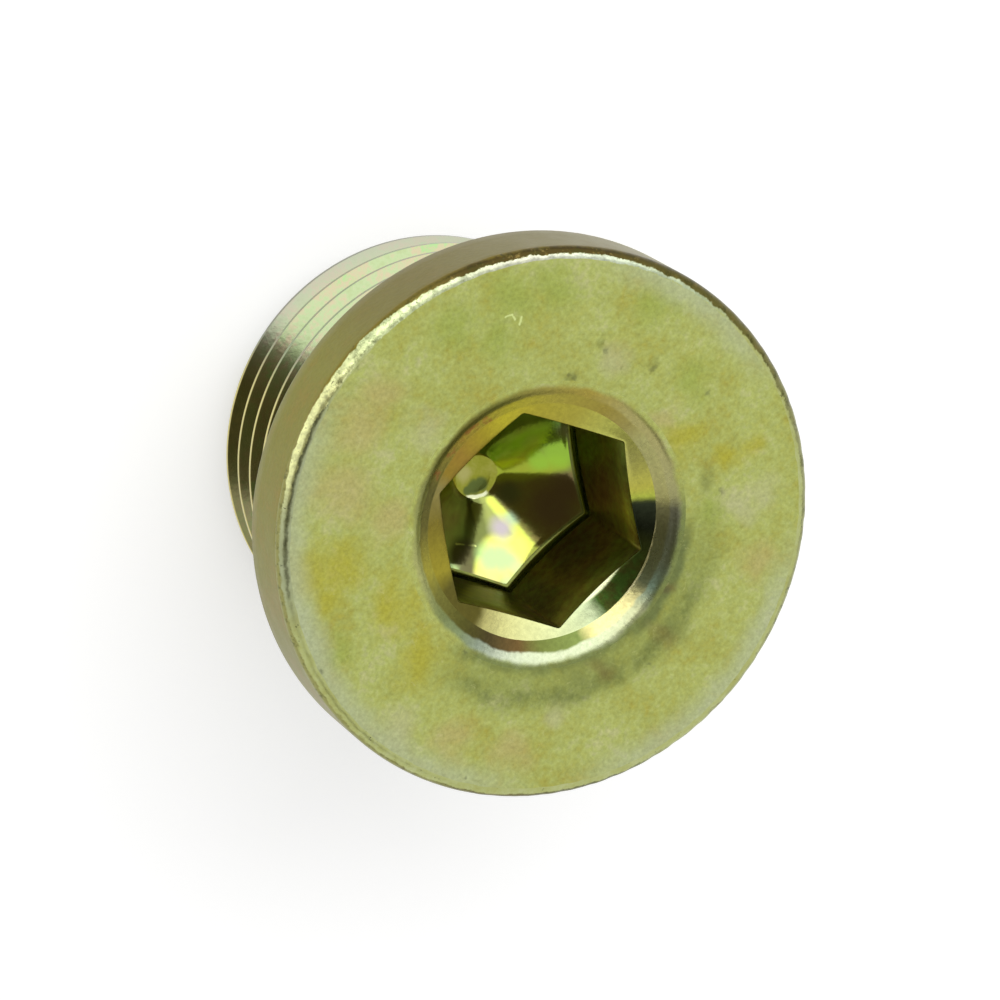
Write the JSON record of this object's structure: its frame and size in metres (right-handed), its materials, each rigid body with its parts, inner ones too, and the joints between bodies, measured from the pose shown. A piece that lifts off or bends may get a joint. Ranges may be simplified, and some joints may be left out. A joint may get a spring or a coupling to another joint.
{
  "type": "hex socket plug",
  "caption": "One-piece screw plug with a round collar, a cylindrical threaded shank and a chamfered hexagon socket in the collar's face.",
  "frame": {"origin": "centre of the shank's free end face", "axes": "+Z along the thread axis, out of the port, from the free end to the face with the hexagon socket; two of the hexagon's corners lie on the X axis"},
  "size_m": [0.023, 0.023, 0.0162],
  "materials": {
    "zinc_plate": "yellow passivated zinc plating over steel, satin with faint rainbow tints, worn bright on the rim"
  },
  "bodies": {
    "root": {"plug": "zinc_plate"}
  },
  "joints": []
}
